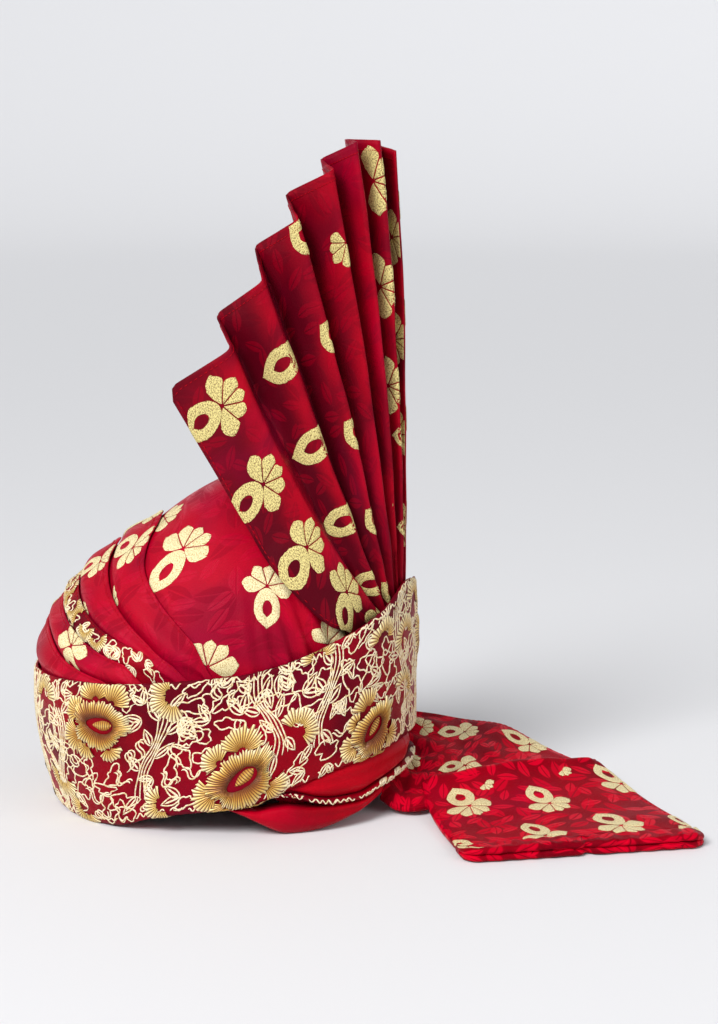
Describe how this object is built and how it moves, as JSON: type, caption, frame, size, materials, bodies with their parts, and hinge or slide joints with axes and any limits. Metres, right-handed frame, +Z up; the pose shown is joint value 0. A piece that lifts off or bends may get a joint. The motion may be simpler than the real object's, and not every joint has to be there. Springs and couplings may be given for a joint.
{
  "type": "tied turban pagri",
  "caption": "Ready-tied pagri: wrapped crown with forehead folds, embroidered band, standing pleated fan and a trailing tail.",
  "frame": {"origin": "bottom centre of the whole object's box, on the surface that it rests on", "axes": "+Z up; -X towards the wearer's forehead, +X towards the tail; -Y towards the wearer's left side"},
  "size_m": [0.4352, 0.247, 0.4347],
  "materials": {
    "cloth": "crimson silk brocade with woven gold motifs",
    "embroidered_band": "deep red ground with dense gold thread embroidery",
    "embroidered_trim": "dark red ground with gold thread embroidery"
  },
  "bodies": {
    "root": {"crown": "cloth", "base_wrap": "cloth", "band": "embroidered_band", "wrap_fold_1": "cloth", "wrap_fold_2": "cloth", "wrap_trim": "embroidered_trim", "wrap_fold_4": "cloth", "wrap_fold_5": "cloth", "upper_roll_near": "cloth", "upper_roll_far": "cloth", "lower_trim_near": "embroidered_trim", "lower_trim_far": "embroidered_trim", "lower_roll_near": "cloth", "lower_roll_far": "cloth", "fan": "cloth", "tail": "cloth"}
  },
  "joints": []
}
